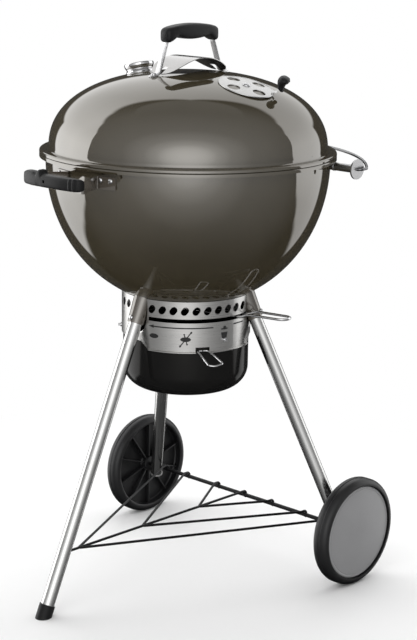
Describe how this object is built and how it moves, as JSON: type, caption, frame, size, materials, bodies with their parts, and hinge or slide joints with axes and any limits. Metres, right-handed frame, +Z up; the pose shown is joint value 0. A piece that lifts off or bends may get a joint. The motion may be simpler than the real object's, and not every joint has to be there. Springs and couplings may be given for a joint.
{
  "type": "kettle charcoal grill",
  "caption": "Kettle charcoal grill: an enamelled bowl and vented lid on a wheeled tripod, with a sweep, a perforated skirt, an ash pan, lift-off grates and a lid holder.",
  "frame": {"origin": "on the floor, under the middle of the whole grill", "axes": "+X along the axle, +Y from the front foot towards the wheels, +Z up"},
  "size_m": [0.618, 0.7039, 1.0698],
  "materials": {
    "enamel_shell": "glossy warm smoke-grey porcelain enamel",
    "enamel_bracket": "satin dark-bronze enamel",
    "enamel_pan": "gloss black enamel",
    "rack_paint": "satin black coating",
    "stainless": "fine brushed stainless sheet",
    "plated_wire": "bright plating",
    "fixings": "bright plated steel",
    "leg_metal": "satin anodised tube",
    "damper_metal": "satin sheet",
    "steel_plain": "plain steel",
    "nylon": "satin glass-filled nylon",
    "dark_plastic": "satin black plastic",
    "cap_plastic": "fine-textured grey plastic",
    "wheel_plastic": "moulded black plastic",
    "dial_face": "printed white dial",
    "needle_red": "red enamel",
    "lens_glass": "clear flat glass"
  },
  "bodies": {
    "frame": {"bowl": "enamel_shell", "grate_brackets": "steel_plain", "bowl_handle_bracket": "enamel_bracket", "bowl_handle_grip": "nylon", "bowl_handle_rivets": "fixings", "lid_holder_tubes": "plated_wire", "ash_skirt": "stainless", "skirt_catches": "fixings", "leg_sockets": "enamel_bracket", "socket_screws": "fixings", "front_leg": "leg_metal", "left_leg": "leg_metal", "right_leg": "leg_metal", "foot_cap": "dark_plastic", "leg_plugs": "dark_plastic", "axle": "rack_paint", "axle_nuts": "fixings", "bottom_rack": "rack_paint"},
    "lid": {"lid": "enamel_shell", "handle_straps": "plated_wire", "handle_grip": "nylon", "handle_bolts": "fixings", "heat_shield": "stainless", "damper_rivet": "fixings", "gauge_bezel": "fixings", "gauge_dial": "dial_face", "gauge_lens": "lens_glass", "gauge_probe": "steel_plain"},
    "needle": {"gauge_needle": "needle_red"},
    "damper": {"lid_damper": "damper_metal", "damper_knob": "nylon"},
    "cooking_grate": {"cooking_grate": "plated_wire", "grate_handles": "plated_wire"},
    "grate_insert": {"grate_insert": "plated_wire"},
    "charcoal_grate": {"charcoal_grate": "steel_plain"},
    "sweep": {"sweep_blades": "steel_plain", "sweep_shaft": "steel_plain", "sweep_lever": "plated_wire"},
    "pan": {"ash_pan": "enamel_pan", "pan_handle": "plated_wire"},
    "lid_hoop": {"lid_hoop": "plated_wire"},
    "left_wheel": {"left_wheel": "wheel_plastic", "left_hubcap": "cap_plastic"},
    "right_wheel": {"right_wheel": "wheel_plastic", "right_hubcap": "cap_plastic"}
  },
  "joints": [
    {"name": "lid_lift", "type": "slide", "parent": "frame", "child": "lid", "axis": [0, 0, 1], "range_m": [0, 0.25]},
    {"name": "damper_turn", "type": "hinge", "parent": "lid", "child": "damper", "pos_m": [0.144, 0.03071, 0.96487], "axis": [0.2878, 0, 0.9577], "range_deg": [-45, 0]},
    {"name": "needle_turn", "type": "hinge", "parent": "lid", "child": "needle", "pos_m": [-0.131, 0.03071, 0.96849], "axis": [-0.2488, 0, 0.9686], "range_deg": [-250, 0]},
    {"name": "grate_lift", "type": "slide", "parent": "frame", "child": "cooking_grate", "axis": [0, 0, 1], "range_m": [0, 0.02]},
    {"name": "insert_lift", "type": "slide", "parent": "cooking_grate", "child": "grate_insert", "axis": [0, 0, 1], "range_m": [0, 0.06]},
    {"name": "coal_lift", "type": "slide", "parent": "frame", "child": "charcoal_grate", "axis": [0, 0, 1], "range_m": [0, 0.05]},
    {"name": "sweep_turn", "type": "hinge", "parent": "frame", "child": "sweep", "pos_m": [0, 0.03071, 0.531], "axis": [0, 0, 1], "range_deg": [-80, 0]},
    {"name": "pan_drop", "type": "slide", "parent": "frame", "child": "pan", "axis": [0, 0, -1], "range_m": [0, 0.11]},
    {"name": "hoop_swing", "type": "hinge", "parent": "frame", "child": "lid_hoop", "pos_m": [0, 0.18571, 0.814], "axis": [1, 0, 0], "range_deg": [0, 70]},
    {"name": "left_wheel_spin", "type": "hinge", "parent": "frame", "child": "left_wheel", "pos_m": [-0.288, 0.20771, 0.1058], "axis": [1, 0, 0], "continuous": true},
    {"name": "right_wheel_spin", "type": "hinge", "parent": "frame", "child": "right_wheel", "pos_m": [0.288, 0.20771, 0.1058], "axis": [1, 0, 0], "continuous": true}
  ]
}
